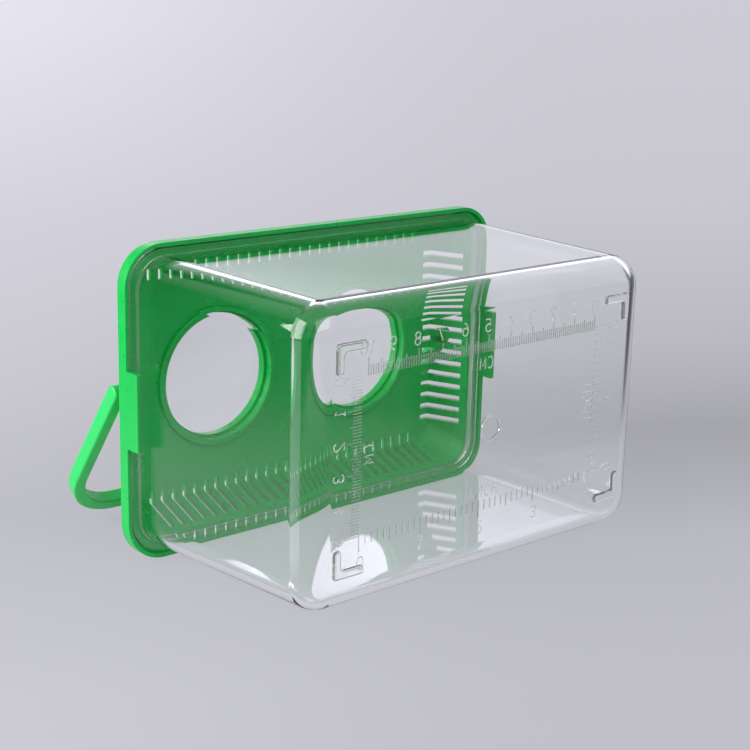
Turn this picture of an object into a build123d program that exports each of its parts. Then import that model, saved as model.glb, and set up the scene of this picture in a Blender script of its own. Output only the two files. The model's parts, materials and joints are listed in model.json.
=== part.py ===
from build123d import *
from math import acos, atan2, cos, hypot, pi, radians, sin
import os

# Bug viewer: a clear tapered tub lying on its long side, a vented lid that
# carries two lenses, and a bail that swings on the lid. Millimetres.
# The case axis runs from the tub's base to the lid.

# Tub
base_length = 148.4
base_width = 96.4
base_corner = 11.0
base_edge = 9.4
mouth_length = 155.2
mouth_width = 99.6
mouth_corner = 11.5
tub_wall = 1.8
tub_height = 87.4
flange_length = 160.4
flange_width = 104.2
flange_corner = 13.2
flange_thickness = 2.2
flange_edge = 0.7
flange_root = 0.6

# Feet and centre mark moulded on the base
foot_span_x = 129.2
foot_span_y = 73.4
foot_arm_x = 12.0
foot_arm_y = 9.6
foot_band = 3.0
foot_corner = 1.3
foot_height = 1.0
foot_edge = 0.9
mark_radius = 4.4
mark_band = 0.6
mark_height = 0.3

# Rulers moulded on the base: centimetres at the top and left, inches at the
# bottom and right. Each row or column of ticks starts at its zero.
tick_width = 0.4
tick_height = 0.2
tick_short = 3.3
tick_half = 4.3
tick_full = 5.6
millimetre = 1.0
inch_tenth = 2.54
cm_row_line = 25.5
cm_row_zero = 48.0
cm_row_ticks = 100
cm_column_line = 54.4
cm_column_zero = 25.5
cm_column_ticks = 50
inch_row_line = 23.9
inch_row_zero = 54.4
inch_row_ticks = 40
inch_column_line = 49.0
inch_column_zero = 24.4
inch_column_ticks = 20

# Lid
lid_length = 164.2
lid_width = 108.0
lid_corner = 14.0
lid_wall = 1.3
lid_plate = 2.0
lid_seat_gap = 0.3
skirt_drop = 3.0
rim_edge = 0.6
crown_length = 152.8
crown_width = 97.2
crown_corner = 9.5
crown_height = 15.5
crown_run = 6.0
crown_edge = 1.2
crown_wall = 2.15
tab_width = 26.4
tab_drop = 6.0
tab_wall = 1.6
tab_edge = 0.5

# Vents through the crown's sloping sides
vent_width = 2.0
vent_pitch = 4.6
vents_long_side = 27
vents_short_side = 15
vent_wrap = 3.0
vent_floor = 0.5

# Lens openings
lens_spacing = 63.0
bead_outer_radius = 25.2
bead_wall = 2.5
bead_height = 1.4
bead_edge = 0.6
recess_depth = 1.8
sight_radius = 21.7
seat_depth = 4.8
collar_wall = 2.4
collar_height = 5.6
collar_edge = 0.5
lens_radius = 23.4
lens_clearance = 0.1
lens_edge = 2.0
lens_outer_bulge = 1.4
lens_inner_bulge = 0.8

# Bail and its pivots
pivot_drop = 2.4
pin_radius = 1.6
pin_clearance = 0.08
pin_end_gap = 0.3
pin_edge = 0.4
bail_gap = 0.15
bail_width = 4.6
bail_thickness = 5.5
bail_reach = 66.0
bail_bend = 23.5
bail_edge = 0.8
bail_end = 3.9
bail_end_round = 2.5
eye_depth = 3.2
bail_angle = 54.2

# Levels along the case axis, measured from the tub's base
skirt_end = tub_height + lid_seat_gap - skirt_drop
lid_ledge = tub_height + lid_seat_gap
lid_back = lid_ledge + lid_plate
crown_top = lid_back + crown_height
crown_inside = crown_top - lid_plate
collar_top = crown_top + collar_height
pivot_level = crown_top - pivot_drop
crown_lean = crown_run / crown_height

# The case lies on the lid's lower edge and on the rounded edge of its base
base_taper = atan2(mouth_width - base_width, 2 * tub_height)
round_level = base_edge
round_offset = base_width / 2 + base_edge * sin(base_taper) - base_edge / cos(base_taper)
rest_run = skirt_end - round_level
rest_drop = lid_width / 2 - round_offset
rest_tilt = acos(base_edge / hypot(rest_run, rest_drop)) - atan2(rest_run, rest_drop)
rest_height = lid_width / 2 * cos(rest_tilt) - skirt_end * sin(rest_tilt)

# The bail's bar reaches furthest back, the upper feet furthest forward
bail_fall = radians(bail_angle) - rest_tilt
bar_back = (
    pivot_level * cos(rest_tilt)
    + (bail_reach - bail_edge) * cos(bail_fall)
    + (bail_thickness / 2 - bail_edge) * sin(bail_fall)
    + bail_edge
)
foot_front = (
    -(foot_span_y / 2 - foot_edge) * sin(rest_tilt)
    - (foot_height - foot_edge) * cos(rest_tilt)
    - foot_edge
)
rest_shift = -(bar_back + foot_front) / 2

case = Plane(
    origin=(0, rest_shift, rest_height),
    x_dir=(1, 0, 0),
    z_dir=(0, cos(rest_tilt), sin(rest_tilt)),
)
case_axis = Axis(case.origin, case.z_dir)



def tick_length(count):
    if count % 10 == 0:
        return tick_full
    if count % 5 == 0:
        return tick_half
    return tick_short


def tick_places(length, ticks, step):
    return [count * step for count in range(ticks + 1) if tick_length(count) == length]


# The tub's inside follows its outside, one wall in
with BuildPart() as cavity:
    with BuildSketch(case.offset(tub_wall)):
        RectangleRounded(
            base_length - 2 * tub_wall, base_width - 2 * tub_wall, base_corner - tub_wall
        )
    with BuildSketch(case.offset(tub_height)):
        RectangleRounded(
            mouth_length - 2 * tub_wall, mouth_width - 2 * tub_wall, mouth_corner - tub_wall
        )
    loft(ruled=True)
    fillet(cavity.faces().sort_by(case_axis)[0].edges(), radius=base_edge - tub_wall)

# Tub: a tapered shell with a flange around its mouth
with BuildPart() as tub:
    with BuildSketch(case):
        RectangleRounded(base_length, base_width, base_corner)
    with BuildSketch(case.offset(tub_height)):
        RectangleRounded(mouth_length, mouth_width, mouth_corner)
    loft(ruled=True)
    fillet(tub.faces().sort_by(case_axis)[0].edges(), radius=base_edge)
    with BuildSketch(case.offset(tub_height - flange_thickness)):
        RectangleRounded(flange_length, flange_width, flange_corner)
    extrude(amount=flange_thickness)
    flange_faces = tub.faces().filter_by(case_axis).sort_by(case_axis)
    fillet(flange_faces[-2].inner_wires().edges(), radius=flange_root)
    flange_faces = tub.faces().filter_by(case_axis).sort_by(case_axis)
    fillet(
        flange_faces[-1].outer_wire().edges() + flange_faces[-2].outer_wire().edges(),
        radius=flange_edge,
    )
    add(cavity.part, mode=Mode.SUBTRACT)
    with BuildSketch(case) as feet:
        for side_x in (-1, 1):
            for side_y in (-1, 1):
                corner_x = side_x * foot_span_x / 2
                corner_y = side_y * foot_span_y / 2
                with Locations((corner_x - side_x * foot_arm_x / 2, corner_y - side_y * foot_band / 2)):
                    Rectangle(foot_arm_x, foot_band)
                with Locations((corner_x - side_x * foot_band / 2, corner_y - side_y * foot_arm_y / 2)):
                    Rectangle(foot_band, foot_arm_y)
        fillet(feet.vertices(), radius=foot_corner)
    extrude(amount=-foot_height)
    fillet(tub.faces().group_by(case_axis)[0].edges(), radius=foot_edge)
    with BuildSketch(case):
        Circle(mark_radius)
        Circle(mark_radius - mark_band, mode=Mode.SUBTRACT)
    extrude(amount=-mark_height)
    with BuildSketch(case):
        for tick in (tick_short, tick_half, tick_full):
            with Locations(
                [
                    (cm_row_zero - place, -cm_row_line - tick / 2)
                    for place in tick_places(tick, cm_row_ticks, millimetre)
                ]
                + [
                    (place - inch_row_zero, inch_row_line + tick / 2)
                    for place in tick_places(tick, inch_row_ticks, inch_tenth)
                ]
            ):
                Rectangle(tick_width, tick)
            with Locations(
                [
                    (-cm_column_line - tick / 2, place - cm_column_zero)
                    for place in tick_places(tick, cm_column_ticks, millimetre)
                ]
                + [
                    (inch_column_line + tick / 2, inch_column_zero - place)
                    for place in tick_places(tick, inch_column_ticks, inch_tenth)
                ]
            ):
                Rectangle(tick, tick_width)
    extrude(amount=-tick_height)
tub.part.label = "tub"

# The lid's crown, with sloping sides
with BuildPart() as crown:
    with BuildSketch(case.offset(lid_back)):
        RectangleRounded(crown_length, crown_width, crown_corner)
    with BuildSketch(case.offset(crown_top)):
        RectangleRounded(
            crown_length - 2 * crown_run, crown_width - 2 * crown_run, crown_corner
        )
    loft(ruled=True)
    fillet(crown.faces().sort_by(case_axis)[-1].edges(), radius=crown_edge)

# The hollow behind the crown keeps the same lean as its outside
hollow_mouth = crown_wall - lid_plate * crown_lean
hollow_top = crown_wall + (crown_height - lid_plate) * crown_lean
with BuildPart() as hollow:
    with BuildSketch(case.offset(lid_ledge)):
        RectangleRounded(
            crown_length - 2 * hollow_mouth, crown_width - 2 * hollow_mouth, crown_corner - crown_wall
        )
    with BuildSketch(case.offset(crown_inside)):
        RectangleRounded(
            crown_length - 2 * hollow_top, crown_width - 2 * hollow_top, crown_corner - crown_wall
        )
    loft(ruled=True)

# Vents, lens seats and pivots, placed from the crown
vent_reach = vent_wrap + crown_run + crown_wall
vent_row_y = crown_width / 2 - crown_run - crown_wall - vent_wrap + vent_reach / 2
vent_row_x = crown_length / 2 - crown_run - crown_wall - vent_wrap + vent_reach / 2
recess_level = crown_inside + recess_depth
seat_level = crown_inside + seat_depth
collar_bore = lens_radius + lens_clearance
bead_area = pi * (bead_outer_radius**2 - (bead_outer_radius - bead_wall) ** 2)
pin_root = crown_length / 2 - crown_run
bail_inner = pin_root + (pivot_drop + bail_end - bail_edge) * crown_lean + bail_gap
pin_tip = bail_inner + eye_depth - pin_end_gap
pivot = case.offset(pivot_level).origin

# The bail's pins stand out from the crown's short sides
with BuildPart() as pins:
    with BuildSketch(Plane(origin=pivot + Vector(pin_root, 0, 0), z_dir=(1, 0, 0))):
        Circle(pin_radius)
    extrude(amount=pin_tip - pin_root)
    chamfer(pins.faces().sort_by(Axis.X)[-1].edges(), length=pin_edge)
    mirror(about=Plane.YZ)

# Lid: a rim with a skirt, and the raised crown
with BuildPart() as lid:
    with BuildSketch(case.offset(skirt_end)):
        RectangleRounded(lid_length, lid_width, lid_corner)
    extrude(amount=lid_back - skirt_end)
    fillet(lid.faces().sort_by(case_axis)[-1].edges(), radius=rim_edge)
    with BuildSketch(case.offset(skirt_end)):
        RectangleRounded(
            lid_length - 2 * lid_wall, lid_width - 2 * lid_wall, lid_corner - lid_wall
        )
    extrude(amount=lid_ledge - skirt_end, mode=Mode.SUBTRACT)
    add(crown.part)
    add(hollow.part, mode=Mode.SUBTRACT)
    with BuildSketch(case.offset(crown_top)):
        with GridLocations(vent_pitch, 2 * vent_row_y, vents_long_side, 2):
            Rectangle(vent_width, vent_reach)
        with GridLocations(2 * vent_row_x, vent_pitch, 2, vents_short_side):
            Rectangle(vent_reach, vent_width)
    extrude(amount=-(crown_height - vent_floor), mode=Mode.SUBTRACT)
    with BuildSketch(case.offset(crown_inside - bead_height)):
        with GridLocations(lens_spacing, 0, 2, 1):
            Circle(bead_outer_radius)
    extrude(amount=bead_height)
    with BuildSketch(case.offset(crown_top)):
        with GridLocations(lens_spacing, 0, 2, 1):
            Circle(collar_bore + collar_wall)
    extrude(amount=collar_height)
    fillet(lid.faces().group_by(case_axis)[-1].edges(), radius=collar_edge)
    with BuildSketch(case.offset(crown_inside - bead_height)):
        with GridLocations(lens_spacing, 0, 2, 1):
            Circle(bead_outer_radius - bead_wall)
    extrude(amount=bead_height + recess_depth, mode=Mode.SUBTRACT)
    bead_faces = lid.faces().filter_by(case_axis).sort_by(lambda face: abs(face.area - bead_area))[:2]
    fillet(bead_faces.edges(), radius=bead_edge)
    with BuildSketch(case.offset(recess_level)):
        with GridLocations(lens_spacing, 0, 2, 1):
            Circle(sight_radius)
    extrude(amount=seat_level - recess_level, mode=Mode.SUBTRACT)
    with BuildSketch(case.offset(seat_level)):
        with GridLocations(lens_spacing, 0, 2, 1):
            Circle(collar_bore)
    extrude(amount=collar_top - seat_level, mode=Mode.SUBTRACT)
    with BuildSketch(case.offset(skirt_end - tab_drop)):
        with GridLocations(lid_length - tab_wall, 0, 2, 1):
            Rectangle(tab_wall, tab_width)
    extrude(amount=tab_drop)
    fillet(lid.faces().group_by(case_axis)[0].edges(), radius=tab_edge)
    add(pins.part)
lid.part.label = "lid"

# Bail: a bar bent to a U. Its rounded ends have blind eyes that take the pins
bail_way = Vector(0, cos(bail_fall), -sin(bail_fall))
bail_middle = bail_inner + bail_width / 2
bar_middle = bail_reach - bail_width / 2
with BuildPart() as bail:
    with BuildSketch(Plane(origin=pivot, x_dir=(1, 0, 0), z_dir=(0, sin(bail_fall), cos(bail_fall)))):
        with BuildLine():
            FilletPolyline(
                (-bail_middle, -bail_end),
                (-bail_middle, bar_middle),
                (bail_middle, bar_middle),
                (bail_middle, -bail_end),
                radius=bail_bend - bail_width / 2,
            )
        trace(line_width=bail_width)
    extrude(amount=bail_thickness / 2, both=True)
    end_edges = bail.edges().filter_by(Axis.X).group_by(Axis(pivot, bail_way))[0]
    fillet(end_edges, radius=bail_end_round)
    fillet(bail.edges(), radius=bail_edge)
    for side in (-1, 1):
        with BuildSketch(
            Plane(origin=pivot + Vector(side * bail_inner, 0, 0), x_dir=bail_way, z_dir=(side, 0, 0))
        ):
            Circle(pin_radius + pin_clearance)
        extrude(amount=eye_depth, mode=Mode.SUBTRACT)
bail.part.label = "bail"

os.makedirs("parts", exist_ok=True)
export_step(tub.part, "parts/tub.step")
export_step(lid.part, "parts/lid.step")
export_step(bail.part, "parts/bail.step")

# Lenses: two-sided discs that rest on the seats in the collars
for side, name in ((-1, "lens_left"), (1, "lens_right")):
    seat = case.offset(seat_level).origin + Vector(side * lens_spacing / 2, 0, 0)
    with BuildPart() as lens:
        with BuildSketch(Plane(origin=seat, x_dir=(1, 0, 0), z_dir=(0, -sin(rest_tilt), cos(rest_tilt)))):
            with BuildLine():
                TangentArc((0, -lens_inner_bulge), (sight_radius, 0), tangent=(1, 0))
                Polyline((sight_radius, 0), (lens_radius, 0), (lens_radius, lens_edge))
                TangentArc((0, lens_edge + lens_outer_bulge), (lens_radius, lens_edge), tangent=(1, 0))
                Line((0, lens_edge + lens_outer_bulge), (0, -lens_inner_bulge))
            make_face()
        revolve(axis=Axis(seat, case.z_dir))
    lens.part.label = name
    export_step(lens.part, "parts/" + name + ".step")
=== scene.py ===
import json
import math

import bpy
from mathutils import Matrix, Vector


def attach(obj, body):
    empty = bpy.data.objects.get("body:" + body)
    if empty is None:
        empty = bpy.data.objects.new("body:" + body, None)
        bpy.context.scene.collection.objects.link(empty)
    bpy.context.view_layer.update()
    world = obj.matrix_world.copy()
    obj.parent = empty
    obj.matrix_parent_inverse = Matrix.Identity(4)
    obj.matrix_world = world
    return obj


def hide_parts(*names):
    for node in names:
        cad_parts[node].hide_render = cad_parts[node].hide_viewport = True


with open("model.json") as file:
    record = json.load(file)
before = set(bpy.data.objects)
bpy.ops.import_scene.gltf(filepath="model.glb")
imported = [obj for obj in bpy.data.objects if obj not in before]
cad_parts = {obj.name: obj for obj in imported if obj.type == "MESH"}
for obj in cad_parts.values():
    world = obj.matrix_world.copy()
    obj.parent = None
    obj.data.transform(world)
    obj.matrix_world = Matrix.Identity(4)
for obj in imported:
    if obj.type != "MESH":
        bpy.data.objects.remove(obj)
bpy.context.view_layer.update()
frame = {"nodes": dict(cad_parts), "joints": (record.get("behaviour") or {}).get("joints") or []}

MM = 0.001

# Camera, as the photograph was taken
CAMERA_PLACE = (-0.3489, -0.42053, 0.1669)
CAMERA_HEADING = 40.783
CAMERA_DROP = 11.613
CAMERA_ROLL = -1.472
CAMERA_LENS = 75.87

# Enough for light to pass every clear wall and come back
CLEAR_BOUNCES = 24

# Moulded figures on the tub's base, in millimetres
FIGURE_HEIGHT = 4.0
FIGURE_WIDTH = 2.5
FIGURE_STROKE = 0.46
FIGURE_RISE = 0.24
FIGURE_GAP = 0.01
FIGURE_PITCH = 3.2
LETTER_HEIGHT = 3.8
LETTER_WIDTH = 2.4
FOOT_HEIGHT = 1.0

# Rulers: how many figures, the first one's place on the base, the step to the next and the way up
RULERS = [
    ("cm_row", 11, (47.4, 34.0), (-10, 0), (0, 1)),
    ("cm_column", 6, (-62.9, 25.3), (0, -10), (-1, 0)),
    ("inch_row", 5, (-53.9, -33.1), (25.4, 0), (0, -1)),
    ("inch_column", 3, (58.0, -24.6), (0, 25.4), (1, 0)),
]

# Unit marks: letters, place on the base, way up and pitch
UNITS = [
    ("cm_row_unit", "CM", (-2.7, 21.9), (0, 1), 3.3),
    ("cm_column_unit", "CM", (-51.4, 1.0), (-1, 0), 3.3),
    ("inch_row_unit", "INCH", (-2.0, -20.8), (0, -1), 3.5),
    ("inch_column_unit", "INCH", (46.4, 0.4), (1, 0), 3.5),
]

# The tub's smooth shell, in millimetres: length, width and corner at the base and at the mouth, and where
# its outer face begins and ends. A face is the shell's own where it faces within an angle of the exact way.
TUB_BASE = (148.4, 96.4, 11.0)
TUB_MOUTH = (155.2, 99.6, 11.5)
TUB_HEIGHT = 87.4
TUB_EDGE = 9.4
TUB_WALL = 1.8
TUB_SHELL_START = 0.01
TUB_SHELL_END = 84.4
SAME_FACE = math.radians(12)

# Clear surfaces scatter a share of the light on the marks that stand out from the base, by height, and on
# the two ends of the flange's edge, by depth and by how squarely they face sideways
FROST_COLOUR = (0.86, 0.9, 0.88, 1)
DUST_COLOUR = (0.7, 0.78, 0.7, 1)
FIGURE_FROST = 0.24
MARK_FROST = 0.22
MARK_RISE = (0.04, 0.12)
RIM_FROST = 0.4
RIM_DEPTH = (84.9, 85.15)
RIM_FACING = (0.5, 0.9)

# The lenses' two round faces, in millimetres, and how near a face has to face the exact way
LENS_INNER_RADIUS = 294.7
LENS_OUTER_RADIUS = 196.3
LENS_SAME_FACE = math.radians(6)


def case_axes():
    """The case's own frame: the centre of its base, then the ways across, up and from base to lid."""
    slide = next(j for j in frame["joints"] if j["name"] == "lid_pull")
    depth = Vector(slide["axis"]).normalized()
    across = Vector((1, 0, 0))
    up = across.cross(depth)
    places = [v.co for v in frame["nodes"]["tub"].data.vertices]
    heights = [p.dot(up) for p in places]
    front = min(p.dot(depth) for p in places) + FOOT_HEIGHT * MM
    middle = (min(heights) + max(heights)) / 2
    return up * middle + depth * front, across, up, depth


BASE, ACROSS, UP, DEPTH = case_axes()


def shell_normal(place, inner):
    """The exact way out of the tub's rounded shell at a place given across, up and from base to lid."""
    inset = TUB_WALL if inner else 0
    height = TUB_HEIGHT - inset
    rise = place.z - inset
    part = rise / height
    base, mouth = ([size - 2 * inset for size in sizes[:2]] for sizes in (TUB_BASE, TUB_MOUTH))
    half = [(low + (high - low) * part) / 2 for low, high in zip(base, mouth)]
    corner = TUB_BASE[2] + (TUB_MOUTH[2] - TUB_BASE[2]) * part - inset
    flat = Vector([max(abs(place[i]) - (half[i] - corner), 0) for i in (0, 1)])
    if flat.length < 1e-6:
        return Vector((0, 0, -1))
    flat.normalize()
    slopes = [(high - low) / 2 / height for low, high in zip(base, mouth)]
    lean = math.atan(slopes[0] * flat.x**2 + slopes[1] * flat.y**2)
    edge = TUB_EDGE - inset
    drop = math.sin(lean)
    if rise < edge * (1 - drop):
        drop = min(1, max(0, (edge - rise) / edge))
    out = math.sqrt(1 - drop * drop)
    return Vector((math.copysign(flat.x * out, place.x), math.copysign(flat.y * out, place.y), -drop))


def smooth_tub():
    """The tub's own solid, with exact shading over its rounded edges, so that it refracts cleanly."""
    source = frame["nodes"]["tub"].data
    mesh = source.copy()
    turn_in = Matrix((ACROSS, UP, DEPTH))
    turn_out = turn_in.transposed()
    places = [turn_in @ (vertex.co - BASE) / MM for vertex in mesh.vertices]
    normals = [corner.vector.copy() for corner in mesh.corner_normals]
    for face in mesh.polygons:
        middle = turn_in @ (face.center - BASE) / MM
        facing = turn_in @ face.normal
        for inner in (False, True):
            if not inner and not TUB_SHELL_START < middle.z < TUB_SHELL_END:
                continue
            way = -1 if inner else 1
            if (shell_normal(middle, inner) * way).angle(facing, 0) < SAME_FACE:
                for loop in face.loop_indices:
                    place = places[mesh.loops[loop].vertex_index]
                    normals[loop] = turn_out @ (shell_normal(place, inner) * way)
                break
    mesh.normals_split_custom_set(normals)
    piece = bpy.data.objects.new("tub_shell", mesh)
    bpy.context.scene.collection.objects.link(piece)
    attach(piece, "tub")
    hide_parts("tub")
    return piece


# Materials

def new_material(name):
    made = bpy.data.materials.new(name)
    made.use_nodes = True
    tree = made.node_tree
    tree.nodes.clear()
    return made, tree, tree.nodes, tree.links


def plug(tree, socket, value):
    """Feeds a socket from another node's output, or sets it to a plain value."""
    if isinstance(value, bpy.types.NodeSocket):
        tree.links.new(value, socket)
    else:
        socket.default_value = value


def maths(tree, operation, first, second=0.0, third=0.0, clamp=False):
    """A math node's result. Each part is a number or another node's output."""
    node = tree.nodes.new("ShaderNodeMath")
    node.operation = operation
    node.use_clamp = clamp
    for socket, value in zip(node.inputs, (first, second, third)):
        plug(tree, socket, value)
    return node.outputs["Value"]


def blend(tree, factor, first, second, data_type="FLOAT", blend_type="MIX"):
    """From the first value to the second by a factor, for numbers or colours."""
    node = tree.nodes.new("ShaderNodeMix")
    node.data_type = data_type
    node.blend_type = blend_type
    plug(tree, node.inputs["Factor"], factor)
    plug(tree, node.inputs["A"], first)
    plug(tree, node.inputs["B"], second)
    return node.outputs["Result"]


def blend_shaders(tree, factor, first, second):
    node = tree.nodes.new("ShaderNodeMixShader")
    for socket, value in zip(node.inputs, (factor, first, second)):
        plug(tree, socket, value)
    return node.outputs["Shader"]


def light_path(tree):
    return tree.nodes.new("ShaderNodeLightPath").outputs


def along(tree, way, start):
    """How far a place on the surface lies from a start in a direction, in metres."""
    place = tree.nodes.new("ShaderNodeTexCoord")
    dot = tree.nodes.new("ShaderNodeVectorMath")
    dot.operation = "DOT_PRODUCT"
    dot.inputs[1].default_value = way
    tree.links.new(place.outputs["Object"], dot.inputs[0])
    return maths(tree, "SUBTRACT", dot.outputs["Value"], Vector(start).dot(way))


def finish_material(tree, surface):
    out = tree.nodes.new("ShaderNodeOutputMaterial")
    tree.links.new(surface, out.inputs["Surface"])


def noise(tree, scale, detail=2.0):
    """A noise texture in object coordinates, in metres."""
    place = tree.nodes.new("ShaderNodeTexCoord")
    texture = tree.nodes.new("ShaderNodeTexNoise")
    texture.inputs["Scale"].default_value = scale
    texture.inputs["Detail"].default_value = detail
    tree.links.new(place.outputs["Object"], texture.inputs["Vector"])
    return texture.outputs["Fac"]


def to_range(tree, value, low, high, start=0.0, end=1.0, curve="LINEAR"):
    """Takes a value that runs from start to end to one that runs from low to high, and no further."""
    remap = tree.nodes.new("ShaderNodeMapRange")
    remap.interpolation_type = curve
    for key, number in zip(("From Min", "From Max", "To Min", "To Max"), (start, end, low, high)):
        remap.inputs[key].default_value = number
    tree.links.new(value, remap.inputs["Value"])
    return remap.outputs["Result"]


def bump(tree, height, distance, under=None):
    relief = tree.nodes.new("ShaderNodeBump")
    relief.inputs["Distance"].default_value = distance
    tree.links.new(height, relief.inputs["Height"])
    if under:
        tree.links.new(under, relief.inputs["Normal"])
    return relief.outputs["Normal"]


def tub_frost(tree):
    """The tub's share of scattered light: on the marks on its base and the two ends of its flange."""
    rise = along(tree, -DEPTH, BASE)
    marks = to_range(tree, rise, 0, MARK_FROST, *(height * MM for height in MARK_RISE))
    rim = to_range(tree, rise, 0, RIM_FROST, *(-depth * MM for depth in RIM_DEPTH))
    facing = tree.nodes.new("ShaderNodeNewGeometry")
    parts = tree.nodes.new("ShaderNodeSeparateXYZ")
    tree.links.new(facing.outputs["True Normal"], parts.inputs["Vector"])
    sideways = maths(tree, "ABSOLUTE", parts.outputs["X"])
    ends = to_range(tree, sideways, 0, 1, *RIM_FACING)
    return maths(tree, "MAXIMUM", marks, maths(tree, "MULTIPLY", rim, ends))


def clear_plastic(name, tint, ior, passes, wave, haze, frost=None):
    """Polished clear plastic. Lamp light and scattered light pass it as through a plain pane.

    Frost is the share of scattered light in its surface, or a function that makes it.
    """
    made, tree, nodes, links = new_material(name)
    body = nodes.new("ShaderNodeBsdfPrincipled")
    body.inputs["Base Color"].default_value = (*tint, 1)
    body.inputs["IOR"].default_value = ior
    body.inputs["Transmission Weight"].default_value = 1.0
    rough = to_range(tree, noise(tree, 160, 4), haze * 0.4, haze * 1.6, 0.35, 0.7)
    links.new(rough, body.inputs["Roughness"])
    if wave:
        links.new(bump(tree, noise(tree, 14, 1), wave * MM), body.inputs["Normal"])
    surface = body.outputs["BSDF"]
    if frost:
        cloudy = nodes.new("ShaderNodeBsdfDiffuse")
        cloudy.inputs["Color"].default_value = FROST_COLOUR
        share = frost(tree) if callable(frost) else frost
        surface = blend_shaders(tree, share, surface, cloudy.outputs["BSDF"])
    pane = nodes.new("ShaderNodeBsdfTransparent")
    pane.inputs["Color"].default_value = (*passes, 1)
    path = light_path(tree)
    plain = maths(tree, "MAXIMUM", path["Is Shadow Ray"], path["Is Diffuse Ray"])
    finish_material(tree, blend_shaders(tree, plain, surface, pane.outputs["BSDF"]))
    return made


def green_plastic(name, colour, deep, gloss):
    """Moulded green plastic: faint cloudiness in the colour, a fine satin skin and a few dust specks."""
    made, tree, nodes, links = new_material(name)
    body = nodes.new("ShaderNodeBsdfPrincipled")
    body.inputs["IOR"].default_value = 1.5
    body.inputs["Subsurface Weight"].default_value = 0.12
    body.inputs["Subsurface Radius"].default_value = (0.2, 1.0, 0.4)
    body.inputs["Subsurface Scale"].default_value = 1.5 * MM
    cloud = to_range(tree, noise(tree, 30, 3), 0, 1, 0.3, 0.7)
    cloudy = blend(tree, cloud, (*deep, 1), (*colour, 1), "RGBA")
    dust = to_range(tree, noise(tree, 900), 0, 0.7, 0.74, 0.8)
    links.new(blend(tree, dust, cloudy, DUST_COLOUR, "RGBA"), body.inputs["Base Color"])
    rough = to_range(tree, noise(tree, 220, 4), gloss * 0.8, gloss * 1.25, 0.3, 0.7)
    links.new(rough, body.inputs["Roughness"])
    coarse = bump(tree, noise(tree, 60), 0.02 * MM)
    links.new(bump(tree, noise(tree, 2600), 0.004 * MM, under=coarse), body.inputs["Normal"])
    finish_material(tree, body.outputs["BSDF"])
    return made


tub_plastic = clear_plastic(
    "tub_clear", tint=(0.998, 1.0, 0.999), ior=1.5, passes=(0.9, 0.92, 0.92),
    wave=0.004, haze=0.008, frost=tub_frost,
)
lens_plastic = clear_plastic(
    "lens_clear", tint=(0.995, 0.998, 1.0), ior=1.49, passes=(0.92, 0.93, 0.93), wave=0.0, haze=0.004
)
figure_plastic = clear_plastic(
    "figure_clear", tint=(0.99, 1.0, 0.995), ior=1.5, passes=(0.9, 0.92, 0.92),
    wave=0.0, haze=0.1, frost=FIGURE_FROST,
)
lid_green = green_plastic("lid_green", colour=(0.007, 0.54, 0.092), deep=(0.005, 0.5, 0.08), gloss=0.3)
bail_green = green_plastic("bail_green", colour=(0.03, 0.68, 0.15), deep=(0.024, 0.63, 0.13), gloss=0.34)


def smooth_lens(node):
    """The lens's own solid, with exact shading over its two round faces."""
    source = frame["nodes"][node].data
    mesh = source.copy()
    depths = [vertex.co.dot(DEPTH) for vertex in mesh.vertices]
    widths = [vertex.co.x for vertex in mesh.vertices]
    middle = sum((vertex.co for vertex in mesh.vertices), Vector()) / len(mesh.vertices)
    middle -= DEPTH * middle.dot(DEPTH)
    middle.x = (min(widths) + max(widths)) / 2
    inner = middle + DEPTH * (min(depths) + LENS_INNER_RADIUS * MM)
    outer = middle + DEPTH * (max(depths) - LENS_OUTER_RADIUS * MM)
    normals = [corner.vector.copy() for corner in mesh.corner_normals]
    for face in mesh.polygons:
        for heart in (inner, outer):
            if (face.center - heart).angle(face.normal, 0) < LENS_SAME_FACE:
                for loop in face.loop_indices:
                    place = mesh.vertices[mesh.loops[loop].vertex_index].co
                    normals[loop] = (place - heart).normalized()
                break
    mesh.normals_split_custom_set(normals)
    piece = bpy.data.objects.new(node + "_shaded", mesh)
    bpy.context.scene.collection.objects.link(piece)
    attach(piece, "lid")
    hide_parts(node)
    for slot in piece.material_slots:
        slot.material = lens_plastic


shell = smooth_tub()
for slot in shell.material_slots:
    slot.material = tub_plastic
smooth_lens("lens_left")
smooth_lens("lens_right")
for node, material in {
    "tub": tub_plastic,
    "lid": lid_green,
    "bail": bail_green,
    "lens_left": lens_plastic,
    "lens_right": lens_plastic,
}.items():
    cad = frame["nodes"][node]
    if not cad.material_slots:
        cad.data.materials.append(material)
    for slot in cad.material_slots:
        slot.material = material


# Moulded figures

def turn(cx, cy, rx, ry, start, end, steps=14):
    """Points on an ellipse, counted in degrees anticlockwise from the right."""
    angles = [math.radians(start + (end - start) * i / steps) for i in range(steps + 1)]
    return [(cx + rx * math.cos(a), cy + ry * math.sin(a)) for a in angles]


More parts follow.
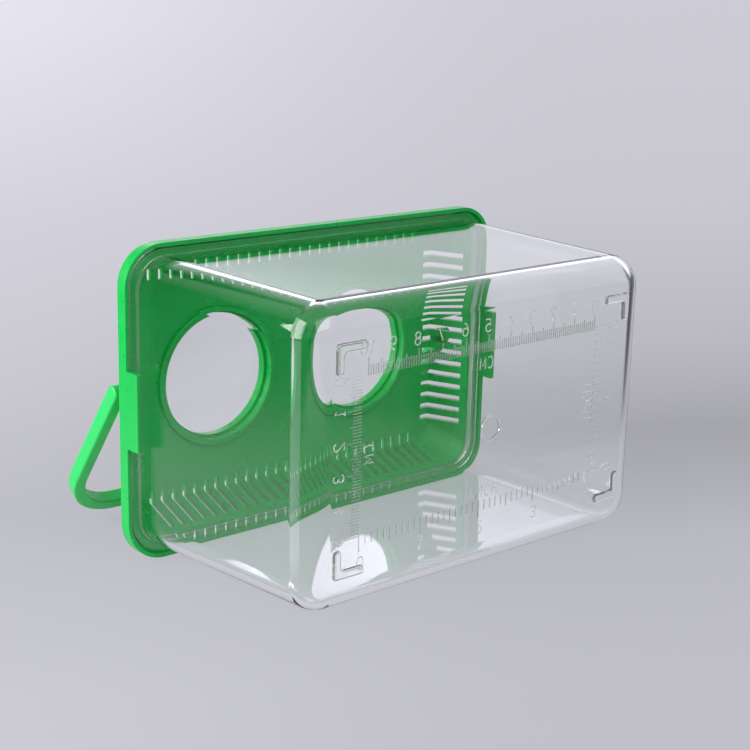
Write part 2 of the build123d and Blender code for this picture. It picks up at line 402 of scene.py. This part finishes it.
STROKES = {
    "0": [turn(0.5, 0.5, 0.5, 0.5, 0, 360, 28)],
    "1": [[(0.15, 0.82), (0.5, 1), (0.5, 0)], [(0.2, 0), (0.8, 0)]],
    "2": [turn(0.5, 0.72, 0.46, 0.28, 165, -25) + [(0.05, 0), (0.98, 0)]],
    "3": [turn(0.46, 0.75, 0.42, 0.25, 150, -90), turn(0.46, 0.26, 0.48, 0.26, 90, -155)],
    "4": [[(0.72, 0), (0.72, 1), (0.03, 0.3), (1, 0.3)]],
    "5": [[(0.9, 1), (0.18, 1), (0.12, 0.52)] + turn(0.46, 0.31, 0.48, 0.31, 130, -150)],
    "6": [turn(0.5, 0.3, 0.46, 0.3, 0, 360, 20), turn(0.74, 0.34, 0.7, 0.66, 95, 180)],
    "7": [[(0.03, 1), (0.97, 1), (0.35, 0)]],
    "8": [turn(0.5, 0.76, 0.38, 0.24, 0, 360, 20), turn(0.5, 0.26, 0.46, 0.26, 0, 360, 20)],
    "9": [turn(0.5, 0.7, 0.46, 0.3, 0, 360, 20), turn(0.26, 0.66, 0.7, 0.66, -85, 0)],
    "C": [turn(0.55, 0.5, 0.5, 0.5, 50, 310, 20)],
    "M": [[(0, 0), (0, 1), (0.5, 0.25), (1, 1), (1, 0)]],
    "I": [[(0.5, 0), (0.5, 1)]],
    "N": [[(0, 0), (0, 1), (1, 0), (1, 1)]],
    "H": [[(0, 0), (0, 1)], [(1, 0), (1, 1)], [(0, 0.5), (1, 0.5)]],
}


def on_base(x, y, rise):
    """A place over the base: x across and y up in millimetres, rise out of the case."""
    return BASE + (ACROSS * x + UP * y - DEPTH * rise) * MM


def moulded_text(name, text, centre, up, height, width, pitch):
    """Raised text on the base, written to be read from inside the tub, with its heads in the way up."""
    up = Vector(up)
    ahead = Vector((-up.y, up.x))
    middle = Vector(centre)
    data = bpy.data.curves.new(name, "CURVE")
    data.dimensions = "3D"
    data.bevel_depth = FIGURE_STROKE / 2 * MM
    data.bevel_resolution = 2
    data.use_fill_caps = True
    start = -(len(text) - 1) / 2 * pitch
    for place, sign in enumerate(text):
        for stroke in STROKES[sign]:
            spline = data.splines.new("POLY")
            spline.points.add(len(stroke) - 1)
            for point, (x, y) in zip(spline.points, stroke):
                shift = start + place * pitch + (x - 0.5) * width
                flat = middle + ahead * shift + up * ((y - 0.5) * height)
                point.co = (*on_base(flat.x, flat.y, 0), 1)
    curve = bpy.data.objects.new(name + "_curve", data)
    bpy.context.scene.collection.objects.link(curve)
    bpy.context.view_layer.update()
    mesh = bpy.data.meshes.new_from_object(curve.evaluated_get(bpy.context.evaluated_depsgraph_get()))
    bpy.data.objects.remove(curve)
    squeeze = FIGURE_RISE / FIGURE_STROKE
    lift = (FIGURE_RISE / 2 + FIGURE_GAP) * MM
    for vertex in mesh.vertices:
        out = (vertex.co - BASE).dot(-DEPTH)
        vertex.co = vertex.co - DEPTH * (out * squeeze + lift - out)
    for face in mesh.polygons:
        face.use_smooth = True
    piece = bpy.data.objects.new(name, mesh)
    bpy.context.scene.collection.objects.link(piece)
    piece.data.materials.clear()
    piece.data.materials.append(figure_plastic)
    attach(piece, "tub")


for ruler, count, (x, y), (step_x, step_y), up in RULERS:
    for number in range(count):
        place = (x + step_x * number, y + step_y * number)
        moulded_text(f"{ruler}_{number}", str(number), place, up, FIGURE_HEIGHT, FIGURE_WIDTH, FIGURE_PITCH)
for unit, text, place, up, pitch in UNITS:
    moulded_text(unit, text, place, up, LETTER_HEIGHT, LETTER_WIDTH, pitch)


# Studio

# Brightness of the sweep, painted light and shade, by how steeply a place on it lies below or above the
# camera, at its right and left
SWEEP_SPAN = (-0.5, 0.9)
# Both ramps are painted: brighter to the left and upwards, a painted dark band below eye level, and a
# glowing band above eye level, brighter than white and no lamp, that the case mirrors as highlights on its
# top edges
SWEEP_RIGHT = [
    (-0.42, 0.515), (-0.32, 0.485), (-0.245, 0.365), (-0.19, 0.49), (-0.1, 0.605),
    (0.02, 0.635), (0.1, 0.68), (0.2, 0.7), (0.28, 1.3), (0.42, 1.6), (0.5, 0.7),
]
SWEEP_LEFT = [
    (-0.42, 0.58), (-0.29, 0.50), (-0.2, 0.59), (-0.1, 0.69), (0.02, 0.84),
    (0.2, 0.95), (0.28, 2.6), (0.42, 2.8), (0.5, 0.7),
]
SWEEP_TINT = (0.905, 0.898, 1.0, 1)

# How far aside the left brightness gives way to the right one
SWEEP_TURN = (-0.30, 0.14)

# The shortest way ahead of the camera, in metres, that slopes are counted over
SWEEP_SHORTEST = 0.05

# Painted shade in reflections: mirrored in the case, the sweep fades out to the left, and below eye level it
# dims to the right
FADE_LEFT = (-0.8, -0.26)
FADE_RIGHT = (0.25, 0.45)
FADE_RIGHT_LOW = 0.15
FADE_EYE_LEVEL = (-0.05, 0.15)

# How much brighter the sweep is painted where it is seen through clear plastic, and how much light it
# scatters back
SWEEP_BEHIND = 0.2
SWEEP_PAPER = 0.08
SWEEP_BOUNCE = 0.65

# A painted glowing strip of floor beside the case, no lamp, that stands in for lamp light on the floor and
# is seen only as a reflection in its clear corner: it opens out from its start, comes in over its first
# centimetres and ends at its reach
STRIP_START = (-0.074, -0.066, 0.0)
STRIP_HEADING = 289
STRIP_SPREAD = (0.36, 0.44)
STRIP_NEAR = (0.02, 0.06)
STRIP_REACH = (0.5, 0.7)
STRIP_GLOW = 4.2

# The sweep's floor, bend and wall, in metres ahead of the case
SWEEP_NEAR = -3.0
SWEEP_BEND = 1.2
SWEEP_RADIUS = 0.8
SWEEP_TOP = 3.2
SWEEP_HALF = 4.0
SWEEP_STEPS = 24


def heading_way(degrees):
    """The level direction of a heading, counted from +Y towards +X."""
    angle = math.radians(degrees)
    return Vector((math.sin(angle), math.cos(angle), 0))


AHEAD = heading_way(CAMERA_HEADING)
ASIDE = heading_way(CAMERA_HEADING + 90)


def sweep_shades(tree, slope, stops):
    """Brightness by slope, along straight lines between stops."""
    ramp = tree.nodes.new("ShaderNodeValToRGB")
    ramp.color_ramp.interpolation = "LINEAR"
    points = ramp.color_ramp.elements
    while len(points) < len(stops):
        points.new(0.5)
    low, high = SWEEP_SPAN
    for point, (where, shade) in zip(points, stops):
        point.position = (where - low) / (high - low)
        point.color = (shade, shade, shade, 1)
    tree.links.new(to_range(tree, slope, 0, 1, low, high), ramp.inputs["Fac"])
    return ramp.outputs["Color"]


def strip_glow(tree, path):
    """The painted strip's glow, for rays that a surface mirrors."""
    out_way = along(tree, heading_way(STRIP_HEADING), STRIP_START)
    off_way = along(tree, heading_way(STRIP_HEADING + 90), STRIP_START)
    spread = maths(tree, "ABSOLUTE", maths(tree, "DIVIDE", off_way, out_way))
    glow = to_range(tree, spread, STRIP_GLOW, 0, *STRIP_SPREAD, "SMOOTHSTEP")
    near = to_range(tree, out_way, 0, 1, *STRIP_NEAR, "SMOOTHSTEP")
    reach = to_range(tree, out_way, 1, 0, *STRIP_REACH, "SMOOTHSTEP")
    mirrored = maths(tree, "SUBTRACT", path["Is Glossy Ray"], path["Is Transmission Ray"], clamp=True)
    lit = maths(tree, "MULTIPLY", glow, maths(tree, "MULTIPLY", near, reach))
    return maths(tree, "MULTIPLY", lit, mirrored)


def sweep_paper():
    """The backdrop's paper, which glows with painted light and shade and scatters a little light."""
    made, tree, nodes, links = new_material("backdrop_paper")
    path = light_path(tree)
    far = maths(tree, "MAXIMUM", along(tree, AHEAD, CAMERA_PLACE), SWEEP_SHORTEST)
    aside = maths(tree, "DIVIDE", along(tree, ASIDE, CAMERA_PLACE), far)
    slope = maths(tree, "DIVIDE", along(tree, Vector((0, 0, 1)), CAMERA_PLACE), far)

    leftness = to_range(tree, aside, 1, 0, *SWEEP_TURN, "SMOOTHSTEP")
    right, left = (sweep_shades(tree, slope, stops) for stops in (SWEEP_RIGHT, SWEEP_LEFT))
    shade = blend(tree, leftness, right, left, "RGBA")
    colour = blend(tree, 1.0, shade, SWEEP_TINT, "RGBA", "MULTIPLY")

    fade_left = to_range(tree, aside, 0, 1, *FADE_LEFT, "SMOOTHSTEP")
    fade_right = to_range(tree, aside, 1, FADE_RIGHT_LOW, *FADE_RIGHT, "SMOOTHSTEP")
    above = to_range(tree, slope, 0, 1, *FADE_EYE_LEVEL, "SMOOTHSTEP")
    fades = maths(tree, "MULTIPLY", fade_left, maths(tree, "MAXIMUM", fade_right, above))
    even = maths(tree, "MAXIMUM", fades, path["Is Camera Ray"])
    seen = maths(tree, "SUBTRACT", even, path["Is Diffuse Ray"], clamp=True)
    # Painted lift: the sweep glows brighter for rays that come through clear plastic
    behind = to_range(tree, path["Is Transmission Ray"], 1, 1 + SWEEP_BEHIND)
    strength = maths(tree, "MULTIPLY_ADD", seen, behind, strip_glow(tree, path))

    glow = nodes.new("ShaderNodeEmission")
    links.new(colour, glow.inputs["Color"])
    links.new(strength, glow.inputs["Strength"])
    paper = nodes.new("ShaderNodeBsdfDiffuse")
    bounce = blend(tree, path["Is Diffuse Ray"], to_range(tree, even, 0, SWEEP_PAPER), SWEEP_BOUNCE)
    links.new(bounce, paper.inputs["Color"])
    both = nodes.new("ShaderNodeAddShader")
    links.new(paper.outputs["BSDF"], both.inputs[0])
    links.new(glow.outputs["Emission"], both.inputs[1])
    finish_material(tree, both.outputs["Shader"])
    return made


def backdrop():
    """A pale sweep behind and under the case, square to the camera."""
    turns = [math.pi / 2 * step / SWEEP_STEPS for step in range(SWEEP_STEPS + 1)]
    profile = [(SWEEP_NEAR, 0.0)]
    profile += [
        (SWEEP_BEND + SWEEP_RADIUS * math.sin(turned), SWEEP_RADIUS * (1 - math.cos(turned)))
        for turned in turns
    ]
    profile.append((SWEEP_BEND + SWEEP_RADIUS, SWEEP_TOP))
    points = [
        AHEAD * ahead + ASIDE * aside + Vector((0, 0, height))
        for ahead, height in profile
        for aside in (-SWEEP_HALF, SWEEP_HALF)
    ]
    faces = [(2 * i, 2 * i + 1, 2 * i + 3, 2 * i + 2) for i in range(len(profile) - 1)]
    mesh = bpy.data.meshes.new("backdrop")
    mesh.from_pydata(points, [], faces)
    for face in mesh.polygons:
        face.use_smooth = True
    sheet = bpy.data.objects.new("backdrop", mesh)
    bpy.context.scene.collection.objects.link(sheet)
    sheet.data.materials.append(sweep_paper())


backdrop()

# The place that the lamps aim at
AIM = Vector((0.0, 0.0, 0.05))


def softbox(name, heading, height, distance, width, tall, radiance):
    """An area lamp aimed at the case: heading and height in degrees, and the brightness of its face."""
    climb = math.radians(height)
    way = heading_way(heading) * math.cos(climb) + Vector((0, 0, math.sin(climb)))
    data = bpy.data.lights.new(name, "AREA")
    data.shape = "RECTANGLE"
    data.size = width
    data.size_y = tall
    data.energy = radiance * math.pi * width * tall
    lamp = bpy.data.objects.new(name, data)
    lamp.location = AIM + way * distance
    lamp.rotation_mode = "QUATERNION"
    lamp.rotation_quaternion = way.to_track_quat("Z", "Y")
    lamp.visible_camera = False
    bpy.context.scene.collection.objects.link(lamp)


softbox("key", heading=287, height=22, distance=0.9, width=0.73, tall=0.8, radiance=5.2)
softbox("fill", heading=190, height=35, distance=1.5, width=1.2, tall=1.0, radiance=1.8)

# Brightness of the room: its plain light, mirrored in the case from overhead and from its dark side, and its
# walls as seen past the backdrop
ROOM_COLOUR = (0.62, 0.62, 0.66, 1)
ROOM_PLAIN = 0.45
ROOM_HIGH = 0.9
ROOM_HIGH_FROM = (0.45, 0.75)
ROOM_DARK = 0.02
ROOM_DARK_HEADING = 320
ROOM_DARK_FROM = (0.1, 0.6)
ROOM_SEEN = 0.9


def room_light():
    """The world: pale to the camera, plain to scattered light, and uneven where surfaces mirror it."""
    world = bpy.data.worlds.new("studio")
    bpy.context.scene.world = world
    world.use_nodes = True
    tree = world.node_tree
    sky = tree.nodes["Background"]
    sky.inputs["Color"].default_value = ROOM_COLOUR
    path = light_path(tree)
    look = tree.nodes.new("ShaderNodeTexCoord")
    parts = tree.nodes.new("ShaderNodeSeparateXYZ")
    tree.links.new(look.outputs["Generated"], parts.inputs["Vector"])
    toward = tree.nodes.new("ShaderNodeVectorMath")
    toward.operation = "DOT_PRODUCT"
    toward.inputs[1].default_value = heading_way(ROOM_DARK_HEADING)
    tree.links.new(look.outputs["Generated"], toward.inputs[0])
    darkness = to_range(tree, toward.outputs["Value"], 0, 1, *ROOM_DARK_FROM)
    level = blend(tree, darkness, ROOM_PLAIN, ROOM_DARK)
    overhead = to_range(tree, parts.outputs["Z"], 0, 1, *ROOM_HIGH_FROM)
    mirrored = blend(tree, overhead, level, ROOM_HIGH)
    unseen = blend(tree, path["Is Diffuse Ray"], mirrored, ROOM_PLAIN)
    strength = blend(tree, path["Is Camera Ray"], unseen, ROOM_SEEN)
    tree.links.new(strength, sky.inputs["Strength"])


room_light()

# Camera

eye = bpy.data.cameras.new("eye")
eye.lens = CAMERA_LENS
eye.sensor_width = 36
eye.clip_start = 0.01
camera = bpy.data.objects.new("eye", eye)
bpy.context.scene.collection.objects.link(camera)
camera.matrix_world = (
    Matrix.Translation(CAMERA_PLACE)
    @ Matrix.Rotation(math.radians(-CAMERA_HEADING), 4, "Z")
    @ Matrix.Rotation(math.radians(90 - CAMERA_DROP), 4, "X")
    @ Matrix.Rotation(math.radians(CAMERA_ROLL), 4, "Z")
)
bpy.context.scene.camera = camera

bpy.context.scene.view_settings.view_transform = "Standard"
cycles = bpy.context.scene.cycles
cycles.max_bounces = CLEAR_BOUNCES
cycles.transmission_bounces = CLEAR_BOUNCES
cycles.transparent_max_bounces = CLEAR_BOUNCES
